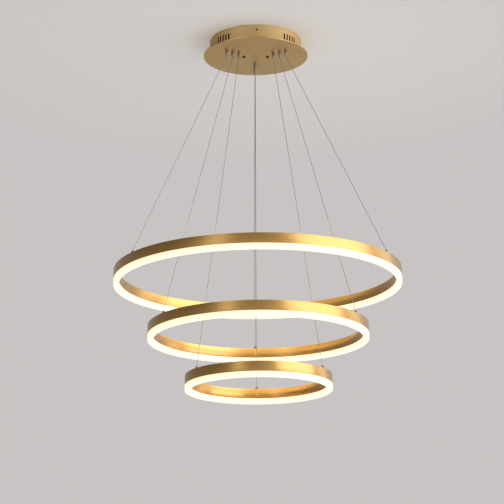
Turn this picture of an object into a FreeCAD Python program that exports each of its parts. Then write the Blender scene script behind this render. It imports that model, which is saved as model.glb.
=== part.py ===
import FreeCAD, Part
import math
import os

from FreeCAD import Vector

# Three-ring LED chandelier, built in millimetres in the object's own frame.
# The origin is the middle of the face that lies against the ceiling, +Z is up, and
# everything hangs below it. -Y is the front, the side that faces the room.
#
# A round gold canopy hides the bracket and the LED driver. Nine wire grippers stand in
# its face plate, in three rows of three. Each row holds the same side of all three
# rings: the outer gripper holds the large ring, the middle one the medium ring and the
# inner one the small ring. Each ring is a U-shaped aluminium channel, open downward,
# with an LED strip inside and a solid milky acrylic ring plugged into it from below.

# ---------------------------------------------------------------- driving sizes
# The three rings: outer diameter, and the drop from the ceiling to the ring's top face.
large_ring_diameter = 800.0
medium_ring_diameter = 610.0
small_ring_diameter = 405.0
large_ring_drop = 683.0
medium_ring_drop = 838.0
small_ring_drop = 978.0

# The section that all three rings share.
ring_width = 15.0
housing_height = 27.5
housing_wall = 1.3
housing_web = 1.5
diffuser_height = 14.5
tongue_height = 6.5
tongue_clearance = 0.15

# The LED strip, stuck to the inner wall of the channel. It bends at its cut marks.
strip_width = 8.0
strip_thickness = 1.2
strip_drop = 7.5
strip_cut_length = 50.0
strip_glue_gap = 0.05

# The wires and what holds them on a ring.
wire_diameter = 1.4
terminal_base_diameter = 10.0
terminal_top_diameter = 4.6
terminal_height = 7.5
terminal_foot_height = 1.5
terminal_stem_diameter = 4.0
terminal_stem_length = 6.0
terminal_nut_across_flats = 7.0
terminal_nut_height = 3.0
grub_screw_diameter = 3.0
grub_screw_height = 4.0
grub_screw_recess = 0.3
grub_screw_tip_gap = 0.05

# The canopy: a spun drum against the ceiling, with a wider round plate under it.
drum_diameter = 262.0
drum_height = 43.0
drum_wall = 1.2
drum_flange = 8.0
plate_diameter = 298.0
plate_thickness = 3.0
vent_width = 4.5
vent_height = 19.0
vent_top_drop = 16.0
vent_pitch = 10.5
vents_in_group = 5
vent_group_angle = 46.0

# The wire grippers, and how far out each row of them stands.
large_gripper_radius = 97.0
medium_gripper_radius = 77.0
small_gripper_radius = 57.0
barrel_diameter = 8.0
barrel_length = 12.0
neck_diameter = 6.0
neck_above_nut = 2.0
gripper_nut_across_flats = 10.0
gripper_nut_height = 4.0
plunger_diameter = 4.4
plunger_length = 8.0
plunger_tip = 4.0
plunger_travel = 2.0
wire_bore_diameter = 2.6
wire_tail = 13.0
mouth_gap = 0.5

# The bracket: two crossed bars, a rivet, the screws in it and its ceiling slots.
bar_thickness = 2.0
long_bar_width = 20.0
long_bar_ear_height = 24.0
long_bar_bend_radius = 1.5
ceiling_slot_spacing = 90.0
ceiling_slot_width = 5.0
ceiling_slot_length = 20.0
cross_bar_width = 18.0
cross_bar_length = 110.0
rivet_diameter = 5.0
rivet_head_diameter = 9.0
rivet_head_height = 1.8
face_screw_spacing = 68.0
face_screw_diameter = 4.0
face_screw_head_diameter = 9.0
face_screw_head_height = 2.6
side_screw_diameter = 3.0
side_screw_length = 8.0
side_screw_drop = 15.0
side_screw_head_diameter = 5.5
side_screw_head_height = 1.6

# The driver and the mains terminal block, both stuck to the inside of the face plate.
driver_length = 130.0
driver_width = 38.0
driver_height = 25.0
driver_edge_chamfer = 2.5
driver_cover_length = 14.0
driver_wall_gap = 2.5
driver_lead_diameter = 6.0
tape_thickness = 1.0
tape_margin = 4.0
block_length = 30.0
block_width = 20.0
block_height = 14.0
block_step_width = 4.0
block_step_height = 5.0
block_poles = 3
block_screw_diameter = 4.0
block_screw_depth = 3.0
block_left = 35.0
block_front = 22.0

# Clearances that several pieces share.
hole_clearance = 0.2
sliding_clearance = 0.3
bar_end_clearance = 0.3
ceiling_clearance = 0.8

# How far a cutting shape reaches past the face that it cuts.
cut_overrun = 1.0

# ---------------------------------------------------------------- worked-out sizes
SPOKES = (("rear", 90.0), ("left", 210.0), ("right", 330.0))
RINGS = (
    ("large", large_ring_diameter, large_ring_drop, large_gripper_radius),
    ("medium", medium_ring_diameter, medium_ring_drop, medium_gripper_radius),
    ("small", small_ring_diameter, small_ring_drop, small_gripper_radius),
)

drum_radius = drum_diameter / 2
drum_inner_radius = drum_radius - drum_wall
flange_inner = drum_radius - drum_flange
driver_corner_radius = flange_inner - driver_wall_gap
driver_front = -math.sqrt(driver_corner_radius ** 2 - (driver_length / 2) ** 2)
driver_back = driver_front + driver_width
plate_top = -drum_height
plate_bottom = plate_top - plate_thickness
barrel_bottom = plate_bottom - barrel_length
nut_top = plate_top + gripper_nut_height
neck_top = nut_top + neck_above_nut
plunger_bottom = barrel_bottom - plunger_tip
plunger_top = plunger_bottom + plunger_length
plunger_bore_top = plunger_top + plunger_travel + sliding_clearance
wire_start = plunger_bottom - mouth_gap


# ---------------------------------------------------------------- shared geometry
def polar(radius, angle, height):
    """The point at a radius and an angle in degrees round the Z axis."""
    turn = math.radians(angle)
    return Vector(radius * math.cos(turn), radius * math.sin(turn), height)


def turned(outline):
    """A solid turned round the Z axis from a closed outline of (radius, height) points."""
    corners = [Vector(radius, 0, height) for radius, height in outline]
    face = Part.Face(Part.makePolygon(corners + corners[:1]))
    return face.revolve(Vector(0, 0, 0), Vector(0, 0, 1), 360)


def upright(diameter, low, high, centre):
    """A vertical round bar over the given point."""
    base = Vector(centre.x, centre.y, low)
    return Part.makeCylinder(diameter / 2, high - low, base)


def radial(diameter, inner, outer, angle, height):
    """A level round bar that points away from the Z axis."""
    start = polar(inner, angle, height)
    return Part.makeCylinder(diameter / 2, outer - inner, start, polar(1, angle, 0))


def hole(diameter, low, high, centre):
    """A cutter for a vertical hole, reaching past both faces of the piece."""
    return upright(diameter, low - cut_overrun, high + cut_overrun, centre)


def side_hole(diameter, inner, outer, angle, height):
    """A cutter for a level hole through a wall, reaching past both of its faces."""
    return radial(diameter, inner - cut_overrun, outer + cut_overrun, angle, height)


def block(low, high):
    """A box between two opposite corners."""
    size = high - low
    return Part.makeBox(size.x, size.y, size.z, low)


def hexagon(across_flats, low, high, centre, angle):
    """A six-sided prism over the given point, with a flat facing the given angle."""
    corner_radius = across_flats / 2 / math.cos(math.pi / 6)
    corners = []
    for step in range(6):
        offset = polar(corner_radius, angle + 30 + 60 * step, low)
        corners.append(Vector(centre.x, centre.y, 0) + offset)
    face = Part.Face(Part.makePolygon(corners + corners[:1]))
    return face.extrude(Vector(0, 0, high - low))


def gripper_places():
    """Every gripper as its ring's name, its spoke's name and its place in the plate."""
    for ring_name, _diameter, _drop, gripper_radius in RINGS:
        for spoke_name, angle in SPOKES:
            yield ring_name, spoke_name, polar(gripper_radius, angle, 0)


# ---------------------------------------------------------------- the rings
def ring_housing(diameter, drop):
    """The aluminium channel: two walls and a web, drilled for terminals and grub screws."""
    outer = diameter / 2
    inner = outer - ring_width
    top = -drop
    bottom = top - housing_height
    channel = turned([
        (inner, top), (outer, top), (outer, bottom), (outer - housing_wall, bottom),
        (outer - housing_wall, top - housing_web), (inner + housing_wall, top - housing_web),
        (inner + housing_wall, bottom), (inner, bottom),
    ])
    for _spoke_name, angle in SPOKES:
        centre = polar(outer - ring_width / 2, angle, 0)
        stem_hole = hole(terminal_stem_diameter + 2 * hole_clearance,
                         top - housing_web, top, centre)
        screw_hole = side_hole(grub_screw_diameter + hole_clearance, inner,
                               inner + housing_wall, angle, bottom + grub_screw_height)
        channel = channel.cut([stem_hole, screw_hole])
    return channel


def ring_diffuser(diameter, drop):
    """The solid milky ring: a full-width body with a tongue that plugs into the channel."""
    outer = diameter / 2
    inner = outer - ring_width
    shoulder = -drop - housing_height
    bottom = shoulder - diffuser_height
    tongue_outer = outer - housing_wall - tongue_clearance
    tongue_inner = inner + housing_wall + tongue_clearance
    return turned([
        (inner, bottom), (outer, bottom), (outer, shoulder), (tongue_outer, shoulder),
        (tongue_outer, shoulder + tongue_height), (tongue_inner, shoulder + tongue_height),
        (tongue_inner, shoulder), (inner, shoulder),
    ])


def ring_led_strip(diameter, drop):
    """The LED strip: short flats between its cut marks, round the channel's inner wall."""
    wall = diameter / 2 - ring_width + housing_wall + strip_glue_gap
    flats = round(2 * math.pi * wall / strip_cut_length)
    to_corner = 1 / math.cos(math.pi / flats)
    low = -drop - strip_drop - strip_width
    loops = []
    for distance in (wall + strip_thickness, wall):
        corners = [polar(distance * to_corner, 360 * step / flats, low) for step in range(flats)]
        loops.append(Part.makePolygon(corners + corners[:1]))
    outer_face = Part.Face(loops[0])
    inner_face = Part.Face(loops[1])
    return outer_face.cut(inner_face).extrude(Vector(0, 0, strip_width))


def ring_terminals(diameter, drop):
    """The three turned caps that hold the wires, with their threaded stems."""
    profile = turned([
        (0, terminal_height), (terminal_top_diameter / 2, terminal_height),
        (terminal_base_diameter / 2, terminal_foot_height), (terminal_base_diameter / 2, 0),
        (terminal_stem_diameter / 2, 0), (terminal_stem_diameter / 2, -terminal_stem_length),
        (0, -terminal_stem_length),
    ])
    caps = []
    for _spoke_name, angle in SPOKES:
        cap = profile.copy()
        cap.translate(polar(diameter / 2 - ring_width / 2, angle, -drop))
        caps.append(cap)
    return Part.makeCompound(caps)


def ring_terminal_nuts(diameter, drop):
    """The hexagon nuts on the stems, tight against the underside of the web."""
    high = -drop - housing_web
    nuts = []
    for _spoke_name, angle in SPOKES:
        centre = polar(diameter / 2 - ring_width / 2, angle, 0)
        nut = hexagon(terminal_nut_across_flats, high - terminal_nut_height, high, centre, angle)
        bore = hole(terminal_stem_diameter + hole_clearance,
                    high - terminal_nut_height, high, centre)
        nuts.append(nut.cut(bore))
    return Part.makeCompound(nuts)


def ring_grub_screws(diameter, drop):
    """The three grub screws that press on the diffuser's tongue from inside the ring."""
    inner = diameter / 2 - ring_width
    height = -drop - housing_height + grub_screw_height
    tip = inner + housing_wall + tongue_clearance - grub_screw_tip_gap
    screws = []
    for _spoke_name, angle in SPOKES:
        screws.append(radial(grub_screw_diameter, inner + grub_screw_recess, tip, angle, height))
    return Part.makeCompound(screws)


def free_wire(ring_diameter, drop, gripper_radius, angle):
    """One tight wire, from just under its gripper to the top of its terminal."""
    start = polar(gripper_radius, angle, wire_start)
    end = polar(ring_diameter / 2 - ring_width / 2, angle, -drop + terminal_height)
    along = (end - start).normalize()
    spare = 2 * wire_diameter
    length = (end - start).Length + 2 * spare
    bar = Part.makeCylinder(wire_diameter / 2, length, start - along * spare, along)
    reach = ring_diameter
    slab = block(Vector(-reach, -reach, end.z), Vector(reach, reach, start.z))
    return bar.common(slab), (end - start).Length


# ---------------------------------------------------------------- the canopy
def canopy_drum():
    """The spun drum: a wall with a flange turned in at the foot, and four sets of vents."""
    drum = turned([
        (drum_inner_radius, 0), (drum_radius, 0), (drum_radius, plate_top),
        (flange_inner, plate_top), (flange_inner, plate_top + drum_wall),
        (drum_inner_radius, plate_top + drum_wall),
    ])
    cuts = []
    pitch_angle = math.degrees(vent_pitch / drum_radius)
    first = -pitch_angle * (vents_in_group - 1) / 2
    for group in (90 - vent_group_angle, 90 + vent_group_angle,
                  270 - vent_group_angle, 270 + vent_group_angle):
        for number in range(vents_in_group):
            slot = block(Vector(flange_inner, -vent_width / 2, -vent_top_drop - vent_height),
                         Vector(drum_radius + cut_overrun, vent_width / 2, -vent_top_drop))
            slot.rotate(Vector(0, 0, 0), Vector(0, 0, 1), group + first + pitch_angle * number)
            cuts.append(slot)
    for angle in (90, 270):
        cuts.append(side_hole(side_screw_diameter + 2 * hole_clearance, drum_inner_radius,
                              drum_radius, angle, -side_screw_drop))
    return drum.cut(cuts)


def canopy_face_plate():
    """The round plate under the drum, drilled for nine grippers and two long screws."""
    plate = Part.makeCylinder(plate_diameter / 2, plate_thickness, Vector(0, 0, plate_bottom))
    cuts = []
    for _ring_name, _spoke_name, place in gripper_places():
        cuts.append(hole(neck_diameter + hole_clearance, plate_bottom, plate_top, place))
    for side in (-1, 1):
        place = Vector(side * face_screw_spacing / 2, 0, 0)
        cuts.append(hole(face_screw_diameter + 2 * hole_clearance,
                         plate_bottom, plate_top, place))
    return plate.cut(cuts)


def bracket_long_bar():
    """The long bar on the ceiling: its two ends are bent down and take the side screws."""
    half_width = long_bar_width / 2
    wall_bulge = drum_inner_radius - math.sqrt(drum_inner_radius ** 2 - half_width ** 2)
    end = drum_inner_radius - wall_bulge - bar_end_clearance
    bend_outer = long_bar_bend_radius + bar_thickness
    half_turn = math.sqrt(0.5)
    foot = -long_bar_ear_height

    def side_of_outline(sign):
        """The outer and inner bend of one end, as two arcs."""
        middle = sign * (end - bend_outer)
        outer_arc = Part.Arc(
            Vector(0, middle, 0),
            Vector(0, middle + sign * bend_outer * half_turn, -bend_outer * (1 - half_turn)),
            Vector(0, sign * end, -bend_outer)).toShape()
        inner_arc = Part.Arc(
            Vector(0, middle, -bar_thickness),
            Vector(0, middle + sign * long_bar_bend_radius * half_turn,
                   -bar_thickness - long_bar_bend_radius * (1 - half_turn)),
            Vector(0, sign * (end - bar_thickness), -bend_outer)).toShape()
        ear = Part.makePolygon([
            Vector(0, sign * end, -bend_outer), Vector(0, sign * end, foot),
            Vector(0, sign * (end - bar_thickness), foot),
            Vector(0, sign * (end - bar_thickness), -bend_outer)])
        return [outer_arc, inner_arc] + ear.Edges

    edges = side_of_outline(1) + side_of_outline(-1)
    for height in (0, -bar_thickness):
        edges.append(Part.LineSegment(Vector(0, -(end - bend_outer), height),
                                      Vector(0, end - bend_outer, height)).toShape())
    outline = Part.Wire(Part.__sortEdges__(edges))
    bar = Part.Face(outline).extrude(Vector(long_bar_width, 0, 0))
    bar.translate(Vector(-half_width, 0, 0))

    cuts = [hole(rivet_diameter + hole_clearance, -bar_thickness, 0, Vector(0, 0, 0))]
    for side in (-1, 1):
        centre = side * ceiling_slot_spacing / 2
        straight = (ceiling_slot_length - ceiling_slot_width) / 2
        cuts.append(block(Vector(-ceiling_slot_width / 2, centre - straight, -bar_thickness - cut_overrun),
                          Vector(ceiling_slot_width / 2, centre + straight, cut_overrun)))
        for slot_end in (centre - straight, centre + straight):
            cuts.append(hole(ceiling_slot_width, -bar_thickness, 0, Vector(0, slot_end, 0)))
        cuts.append(side_hole(side_screw_diameter + hole_clearance, end - bar_thickness,
                              end, 90 * side, -side_screw_drop))
    return bar.cut(cuts)


def bracket_cross_bar():
    """The short bar riveted under the long one: the two long plate screws end in it."""
    top = -bar_thickness
    bottom = top - bar_thickness
    bar = block(Vector(-cross_bar_length / 2, -cross_bar_width / 2, bottom),
                Vector(cross_bar_length / 2, cross_bar_width / 2, top))
    cuts = [hole(rivet_diameter + hole_clearance, bottom, top, Vector(0, 0, 0))]
    for side in (-1, 1):
        place = Vector(side * face_screw_spacing / 2, 0, 0)
        cuts.append(hole(face_screw_diameter + hole_clearance, bottom, top, place))
    return bar.cut(cuts)


def bracket_rivet():
    """The rivet that joins the bars, flush with the ceiling face."""
    shank_bottom = -2 * bar_thickness
    shank = upright(rivet_diameter, shank_bottom, 0, Vector(0, 0, 0))
    head = upright(rivet_head_diameter, shank_bottom - rivet_head_height, shank_bottom,
                   Vector(0, 0, 0))
    return shank.fuse(head).removeSplitter()


def face_plate_screws():
    """The two long screws with dark heads that hold the plate and drum to the bracket."""
    screws = []
    for side in (-1, 1):
        place = Vector(side * face_screw_spacing / 2, 0, 0)
        head = upright(face_screw_head_diameter, plate_bottom - face_screw_head_height,
                       plate_bottom, place)
        shank = upright(face_screw_diameter, plate_bottom, -ceiling_clearance, place)
        screws.append(head.fuse(shank).removeSplitter())
    return Part.makeCompound(screws)


def drum_side_screws():
    """The two small screws through the drum's wall into the ears of the long bar."""
    screws = []
    for angle in (90, 270):
        head = radial(side_screw_head_diameter, drum_radius,
                      drum_radius + side_screw_head_height, angle, -side_screw_drop)
        shank = radial(side_screw_diameter, drum_radius - side_screw_length, drum_radius,
                       angle, -side_screw_drop)
        screws.append(head.fuse(shank).removeSplitter())
    return Part.makeCompound(screws)


def driver_tape_pad():
    """The foam tape that sticks the driver to the inside of the face plate."""
    half_length = driver_length / 2 - tape_margin
    return block(Vector(-half_length, driver_front + tape_margin, plate_top),
                 Vector(half_length, driver_back - tape_margin, plate_top + tape_thickness))


def driver_outline(left):
    """The driver's end outline, a box with its two upper edges cut off, at one X place."""
    low = plate_top + tape_thickness
    high = low + driver_height
    cut = driver_edge_chamfer
    corners = [
        Vector(left, driver_front, low), Vector(left, driver_back, low),
        Vector(left, driver_back, high - cut), Vector(left, driver_back - cut, high),
        Vector(left, driver_front + cut, high), Vector(left, driver_front, high - cut),
    ]
    return Part.Face(Part.makePolygon(corners + corners[:1]))


def led_driver_case():
    """The middle of the LED driver's plastic case."""
    half_length = driver_length / 2 - driver_cover_length
    return driver_outline(-half_length).extrude(Vector(2 * half_length, 0, 0))


def led_driver_end_covers():
    """The snap-on end covers of the driver, each with a round way out for its lead."""
    half_length = driver_length / 2
    middle = (driver_front + driver_back) / 2
    height = plate_top + tape_thickness + driver_height / 2
    covers = []
    for start in (-half_length, half_length - driver_cover_length):
        cover = driver_outline(start).extrude(Vector(driver_cover_length, 0, 0))
        lead_way = Part.makeCylinder(driver_lead_diameter / 2, driver_cover_length / 2,
                                     Vector(start, middle, height), Vector(1, 0, 0))
        if start > 0:
            lead_way.translate(Vector(driver_cover_length / 2, 0, 0))
        covers.append(cover.cut(lead_way))
    return Part.makeCompound(covers)


def mains_terminal_block():
    """The screw terminal block: a stepped bar with a row of screw wells on each side."""
    low = plate_top
    high = low + block_height
    step_top = low + block_step_height
    front = block_front
    back = front + block_width
    corners = [
        Vector(block_left, front, low), Vector(block_left, back, low),
        Vector(block_left, back, step_top), Vector(block_left, back - block_step_width, step_top),
        Vector(block_left, back - block_step_width, high),
        Vector(block_left, front + block_step_width, high),
        Vector(block_left, front + block_step_width, step_top), Vector(block_left, front, step_top),
    ]
    body = Part.Face(Part.makePolygon(corners + corners[:1])).extrude(Vector(block_length, 0, 0))
    wells = []
    for pole in range(block_poles):
        across = block_left + block_length * (pole + 0.5) / block_poles
        place = Vector(across, (front + back) / 2, 0)
        wells.append(upright(block_screw_diameter, high - block_screw_depth, high + cut_overrun, place))
    return body.cut(wells)


# ---------------------------------------------------------------- the wire grippers
def gripper_barrels():
    """Nine turned barrels: a neck through the plate and a bore for the plunger below."""
    plunger_bore = plunger_diameter / 2 + sliding_clearance
    profile = turned([
        (wire_bore_diameter / 2, neck_top), (neck_diameter / 2, neck_top),
        (neck_diameter / 2, plate_bottom), (barrel_diameter / 2, plate_bottom),
        (barrel_diameter / 2, barrel_bottom), (plunger_bore, barrel_bottom),
        (plunger_bore, plunger_bore_top), (wire_bore_diameter / 2, plunger_bore_top),
    ])
    barrels = []
    for _ring_name, _spoke_name, place in gripper_places():
        barrel = profile.copy()
        barrel.translate(place)
        barrels.append(barrel)
    return Part.makeCompound(barrels)


def gripper_nuts():
    """Nine hexagon nuts that hold the barrels from inside the canopy."""
    nuts = []
    for _ring_name, _spoke_name, place in gripper_places():
        angle = math.degrees(math.atan2(place.y, place.x))
        nut = hexagon(gripper_nut_across_flats, plate_top, nut_top, place, angle + 30)
        bore = hole(neck_diameter + hole_clearance, plate_top, nut_top, place)
        nuts.append(nut.cut(bore))
    return Part.makeCompound(nuts)


def release_plunger(place):
    """The sliding tip of one gripper: pushed up, it lets go of its wire."""
    plunger = turned([
        (wire_bore_diameter / 2, plunger_bottom), (plunger_diameter / 2, plunger_bottom),
        (plunger_diameter / 2, plunger_top), (wire_bore_diameter / 2, plunger_top),
    ])
    plunger.translate(place)
    return plunger


def wire_upper_ends():
    """The stretch of each wire that stands in its gripper and just above it."""
    ends = []
    for _ring_name, _spoke_name, place in gripper_places():
        ends.append(upright(wire_diameter, wire_start, neck_top + wire_tail, place))
    return Part.makeCompound(ends)


# ---------------------------------------------------------------- all pieces
def all_pieces():
    """Every piece under its node's name."""
    pieces = {
        "canopy_drum": canopy_drum(),
        "canopy_face_plate": canopy_face_plate(),
        "bracket_long_bar": bracket_long_bar(),
        "bracket_cross_bar": bracket_cross_bar(),
        "bracket_rivet": bracket_rivet(),
        "face_plate_screws": face_plate_screws(),
        "drum_side_screws": drum_side_screws(),
        "led_driver_case": led_driver_case(),
        "led_driver_end_covers": led_driver_end_covers(),
        "driver_tape_pad": driver_tape_pad(),
        "mains_terminal_block": mains_terminal_block(),
        "gripper_barrels": gripper_barrels(),
        "gripper_nuts": gripper_nuts(),
        "wire_upper_ends": wire_upper_ends(),
    }
    for ring_name, spoke_name, place in gripper_places():
        pieces[f"{ring_name}_{spoke_name}_plunger"] = release_plunger(place)
    for ring_name, diameter, drop, gripper_radius in RINGS:
        pieces[f"{ring_name}_ring_housing"] = ring_housing(diameter, drop)
        pieces[f"{ring_name}_ring_diffuser"] = ring_diffuser(diameter, drop)
        pieces[f"{ring_name}_ring_led_strip"] = ring_led_strip(diameter, drop)
        pieces[f"{ring_name}_ring_terminals"] = ring_terminals(diameter, drop)
        pieces[f"{ring_name}_ring_terminal_nuts"] = ring_terminal_nuts(diameter, drop)
        pieces[f"{ring_name}_ring_grub_screws"] = ring_grub_screws(diameter, drop)
        for spoke_name, angle in SPOKES:
            wire, length = free_wire(diameter, drop, gripper_radius, angle)
            pieces[f"{ring_name}_{spoke_name}_wire"] = wire
            section = math.pi * wire_diameter ** 2 / 4
            print(f"{ring_name} {spoke_name} wire: straight, {length:.1f} mm long,",
                  f"volume over section times length {wire.Volume / (section * length):.4f}")
    return pieces


os.makedirs("parts", exist_ok=True)
for node_name, shape in all_pieces().items():
    if not shape.isValid():
        raise RuntimeError(f"{node_name} is not a valid shape")
    shape.exportStep(f"parts/{node_name}.step")
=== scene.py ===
import bmesh
import bpy
import math

from mathutils import Matrix, Vector


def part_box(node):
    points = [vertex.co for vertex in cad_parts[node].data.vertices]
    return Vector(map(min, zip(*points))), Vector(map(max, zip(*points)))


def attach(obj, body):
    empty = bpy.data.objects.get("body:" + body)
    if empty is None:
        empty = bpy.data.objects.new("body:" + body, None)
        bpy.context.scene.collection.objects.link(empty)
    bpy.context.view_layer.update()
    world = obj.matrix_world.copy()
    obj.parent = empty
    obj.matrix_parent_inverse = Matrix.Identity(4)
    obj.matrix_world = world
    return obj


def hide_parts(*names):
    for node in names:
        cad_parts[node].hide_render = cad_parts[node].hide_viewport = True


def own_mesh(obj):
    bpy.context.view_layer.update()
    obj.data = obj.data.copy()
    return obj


# LED ring chandelier: three gold rings with lit edges, hung on nine thin wires from a round
# canopy. Lengths are in metres, in the frame of the solids: the origin is the middle of the
# ceiling face, +Z is up and -Y is the front.
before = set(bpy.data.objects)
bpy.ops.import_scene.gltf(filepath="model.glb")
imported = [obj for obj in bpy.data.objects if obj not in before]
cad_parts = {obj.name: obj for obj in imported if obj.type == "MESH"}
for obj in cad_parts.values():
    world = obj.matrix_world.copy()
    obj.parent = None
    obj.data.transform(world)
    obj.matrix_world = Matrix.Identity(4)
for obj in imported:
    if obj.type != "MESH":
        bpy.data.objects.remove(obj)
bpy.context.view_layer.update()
MM = 0.001

# ------------------------------------------------------------------------------ the room
# A plain studio, seen from below and in front of the light. The wall behind is one pale
# grey, and the floor under the light fades into it.

camera_lens = bpy.data.cameras.new("camera")
camera_lens.lens = 132.73
camera_lens.sensor_width = 36
camera_lens.sensor_fit = "HORIZONTAL"
camera = bpy.data.objects.new("camera", camera_lens)
bpy.context.collection.objects.link(camera)
camera_orbit = math.radians(-1.5)
camera_place = (-0.0154, -5.0, -1.9916)
camera_tilt_up = math.radians(15.27)
camera_roll = math.radians(-0.48)
camera.matrix_world = (Matrix.Rotation(camera_orbit, 4, "Z") @ Matrix.Translation(camera_place)
                       @ Matrix.Rotation(math.radians(90) + camera_tilt_up, 4, "X")
                       @ Matrix.Rotation(camera_roll, 4, "Z"))
bpy.context.scene.camera = camera
bpy.context.scene.view_settings.view_transform = "Standard"

WALL_GREY = (0.578, 0.552, 0.546)


def add_node(tree, kind, inputs=None, **settings):
    """A new shader node. Each input is given as a value, or as a socket to link to it."""
    made = tree.nodes.new(kind)
    for name, value in settings.items():
        setattr(made, name, value)
    for name, value in (inputs or {}).items():
        if isinstance(value, bpy.types.NodeSocket):
            tree.links.new(value, made.inputs[name])
        else:
            made.inputs[name].default_value = value
    return made


def spread(tree, source, low, high, from_low=0.0, from_high=1.0):
    """A value moved from one range to another."""
    made = add_node(tree, "ShaderNodeMapRange", {
        "Value": source, "From Min": from_low, "From Max": from_high,
        "To Min": low, "To Max": high})
    return made.outputs["Result"]


# What the metal mirrors: the room is dim on the left and above, and brighter on the right and
# below. The camera itself sees one even wall.
room_colour = (1.0, 0.985, 0.965)
room_level = 0.465
room_lean = (0.20, 0.0, -0.26)
room = bpy.data.worlds.new("room")
bpy.context.scene.world = room
room.use_nodes = True
tree = room.node_tree
lean = add_node(tree, "ShaderNodeVectorMath", {
    0: add_node(tree, "ShaderNodeTexCoord").outputs["Generated"], 1: room_lean},
    operation="DOT_PRODUCT")
level = add_node(tree, "ShaderNodeMath", {0: lean.outputs["Value"], 1: room_level},
                 operation="ADD")
room_light = add_node(tree, "ShaderNodeBackground", {
    "Color": (*room_colour, 1), "Strength": level.outputs[0]})
wall = add_node(tree, "ShaderNodeBackground", {"Color": (*WALL_GREY, 1), "Strength": 1.0})
rays = add_node(tree, "ShaderNodeLightPath")
seen = add_node(tree, "ShaderNodeMath", {0: rays.outputs["Is Camera Ray"],
                                         1: rays.outputs["Is Transmission Ray"]},
                operation="MAXIMUM")
chosen = add_node(tree, "ShaderNodeMixShader", {0: seen.outputs[0], 1: room_light.outputs[0],
                                                2: wall.outputs[0]})
tree.links.new(chosen.outputs[0], tree.nodes["World Output"].inputs["Surface"])


def softbox(name, azimuth, elevation, distance, width, height, brightness):
    """A soft lamp that faces the light's middle, as bright as an even sheet of that level.
    Azimuth 0 is in front, and 90 is on the right."""
    lamp = bpy.data.lights.new(name, "AREA")
    lamp.shape = "RECTANGLE"
    lamp.size = width
    lamp.size_y = height
    lamp.energy = brightness * math.pi * width * height
    turn, lift = math.radians(azimuth), math.radians(elevation)
    out = Vector((math.sin(turn) * math.cos(lift), -math.cos(turn) * math.cos(lift),
                  math.sin(lift)))
    light_middle = Vector((0, 0, -0.75))
    stand = bpy.data.objects.new(name, lamp)
    bpy.context.collection.objects.link(stand)
    stand.location = light_middle + out * distance
    stand.rotation_euler = (-out).to_track_quat("-Z", "Y").to_euler()
    stand.visible_camera = False


softbox("key_softbox", azimuth=58, elevation=14, distance=3.4, width=4.0, height=2.2,
        brightness=2.05)
softbox("side_softbox", azimuth=112, elevation=14, distance=3.4, width=1.4, height=2.2,
        brightness=0.8)
softbox("left_strip", azimuth=-32, elevation=14, distance=3.4, width=0.9, height=2.2,
        brightness=0.95)
softbox("top_softbox", azimuth=180, elevation=68, distance=3.4, width=2.4, height=2.4,
        brightness=1.2)
softbox("drum_softbox", azimuth=-46, elevation=46, distance=1.46, width=0.6, height=0.5,
        brightness=1.5)


def stage_disc(name, height, radius, clear_side, colour, fades_from, fades_to, glow=0.0):
    """A disc of the given colour, pale or dark, that fades out between two distances from its
    middle. It is clear from above where its clear side is 1 and from below where that is -1, so
    that it never hides the light from a camera there."""
    mesh = bpy.data.meshes.new(name)
    rim_points = 96
    rim = []
    for step in range(rim_points):
        turn = -clear_side * step * math.tau / rim_points
        rim.append((radius * math.cos(turn), radius * math.sin(turn), height))
    mesh.from_pydata(rim, [], [list(range(rim_points))])
    disc = bpy.data.objects.new(name, mesh)
    bpy.context.collection.objects.link(disc)
    material = bpy.data.materials.new(name)
    material.use_nodes = True
    tree = material.node_tree
    shader = tree.nodes["Principled BSDF"]
    shader.inputs["Base Color"].default_value = (*colour, 1)
    shader.inputs["Roughness"].default_value = 1.0
    shader.inputs["Emission Color"].default_value = (*WALL_GREY, 1)
    shader.inputs["Emission Strength"].default_value = glow
    shader.inputs["Specular IOR Level"].default_value = 0.0
    from_middle = add_node(tree, "ShaderNodeVectorMath", {
        0: add_node(tree, "ShaderNodeTexCoord").outputs["Object"],
        1: (0.0, 0.0, -height)}, operation="ADD")
    distance = add_node(tree, "ShaderNodeVectorMath", {0: from_middle.outputs[0]},
                        operation="LENGTH").outputs["Value"]
    fade = spread(tree, distance, low=1.0, high=0.0, from_low=fades_from, from_high=fades_to)
    behind = add_node(tree, "ShaderNodeNewGeometry").outputs["Backfacing"]
    facing = add_node(tree, "ShaderNodeMath", {0: 1.0, 1: behind}, operation="SUBTRACT")
    shown = add_node(tree, "ShaderNodeMath", {0: fade, 1: facing.outputs[0]},
                     operation="MULTIPLY")
    clear = add_node(tree, "ShaderNodeBsdfTransparent")
    mixed = add_node(tree, "ShaderNodeMixShader", {
        0: shown.outputs[0], 1: clear.outputs[0], 2: shader.outputs[0]})
    tree.links.new(mixed.outputs[0], tree.nodes["Material Output"].inputs["Surface"])
    mesh.materials.append(material)
    return disc


stage_disc("floor", height=-2.7, radius=4.5, clear_side=-1, colour=(0.72, 0.70, 0.68),
           fades_from=0.6, fades_to=4.0)

# The ceiling takes the canopy's shadow. Inside the canopy a near-black disc stands for the
# ceiling as painted shade, the dark seen through the vents. They hold back no light.
ceiling = stage_disc("ceiling", height=0.001, radius=1.2, clear_side=1,
                     colour=(0.93, 0.91, 0.90), fades_from=0.15, fades_to=1.1, glow=0.23)
# Painted shade: a near-black disc seen only by the camera, where the inside of the canopy lies
# in shadow.
painted_shade_disc = stage_disc("painted_shade_inside_canopy", height=0.0005, radius=0.129, clear_side=1,
                          colour=(0.02, 0.015, 0.01), fades_from=0.2, fades_to=0.3)
for disc in (ceiling, painted_shade_disc):
    disc.visible_diffuse = False
    disc.visible_glossy = False
    disc.visible_transmission = False
    disc.visible_shadow = False

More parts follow.
